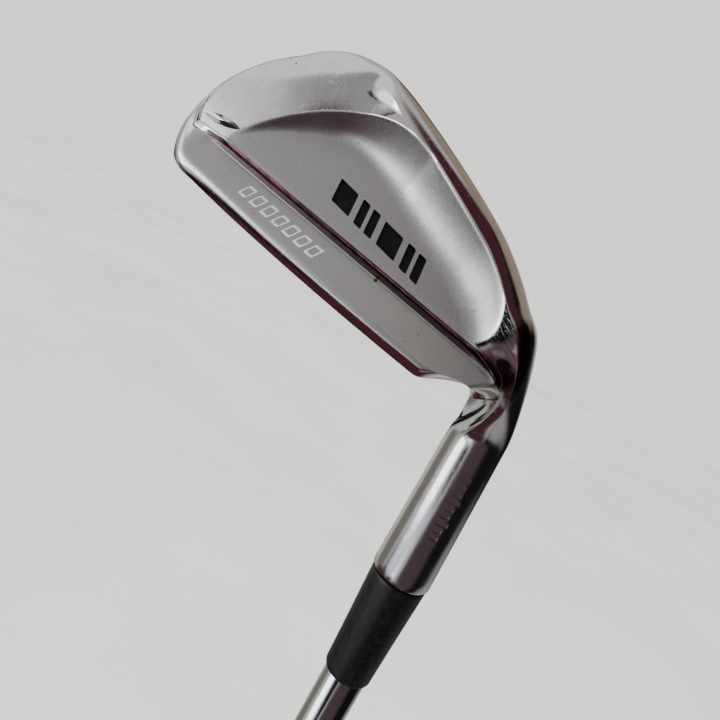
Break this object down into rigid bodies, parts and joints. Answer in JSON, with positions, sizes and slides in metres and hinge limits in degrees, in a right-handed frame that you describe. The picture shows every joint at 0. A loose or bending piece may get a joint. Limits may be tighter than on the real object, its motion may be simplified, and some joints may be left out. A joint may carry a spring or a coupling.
{
  "type": "iron golf club",
  "caption": "Forged muscle-back blade iron, head plated, with a tapered plastic ferrule, a stepped steel shaft and a rubber grip.",
  "frame": {"origin": "on the shaft axis, in the middle of the hands' hold on the grip, 130 mm from the butt end", "axes": "+Z along the shaft axis from the grip to the head; the strike face looks towards -Y, tilted up by the loft; +X is the side of the shaft that the toe of the head is on"},
  "size_m": [0.0937, 0.039, 0.9774],
  "materials": {
    "head_plating": "polished chrome plate, with a blasted satin field and a fine satin strip on the back and a satin strike face",
    "ferrule_plastic": "black acetate, satin gloss",
    "epoxy": "cured amber-grey epoxy",
    "shaft_plating": "bright chrome plate on stepped steel tube",
    "plug_steel": "plain turned steel",
    "tape": "creased paper tape",
    "grip_rubber": "moulded black rubber with a repeated groove pattern",
    "band_film": "plain dark film band, no lettering"
  },
  "bodies": {
    "root": {"clubhead": "head_plating", "ferrule": "ferrule_plastic", "hosel_epoxy": "epoxy", "shaft": "shaft_plating", "tip_plug": "plug_steel", "grip_tape": "tape", "grip": "grip_rubber", "shaft_band": "band_film"}
  },
  "joints": []
}
